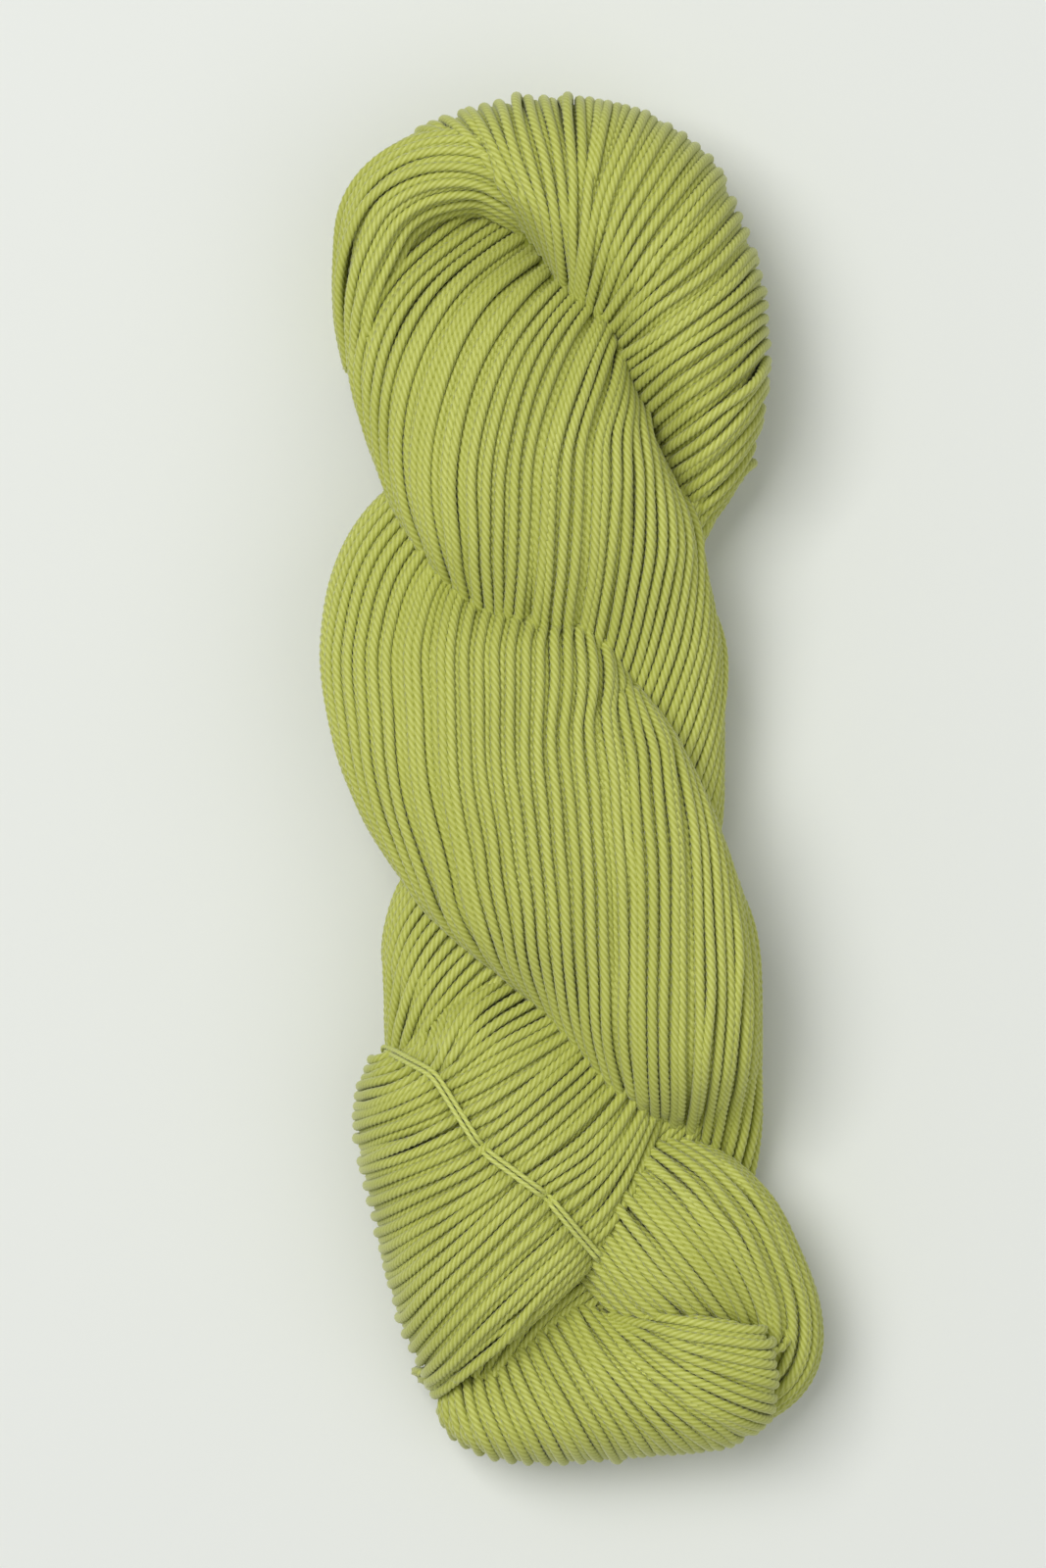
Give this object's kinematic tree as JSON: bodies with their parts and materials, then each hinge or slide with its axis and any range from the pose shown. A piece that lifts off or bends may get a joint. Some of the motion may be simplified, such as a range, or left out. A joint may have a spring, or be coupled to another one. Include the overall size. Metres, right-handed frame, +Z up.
{
  "type": "twisted skein of plied yarn",
  "caption": "Twisted skein of lime-green plied yarn lying flat, its tucked end loop held by a thin laced tie.",
  "frame": {"origin": "middle of the skein's length and width, on the surface that it rests on", "axes": "+X across the skein, +Y along it from the tied end to the folded end, +Z up from the resting surface"},
  "size_m": [0.093, 0.26, 0.05],
  "materials": {
    "plied_yarn": "soft plied yarn, light satin sheen",
    "tie_yarn": "smooth taut yarn, light satin sheen"
  },
  "bodies": {
    "root": {"wound_yarn": "plied_yarn", "figure_eight_tie": "tie_yarn"}
  },
  "joints": []
}
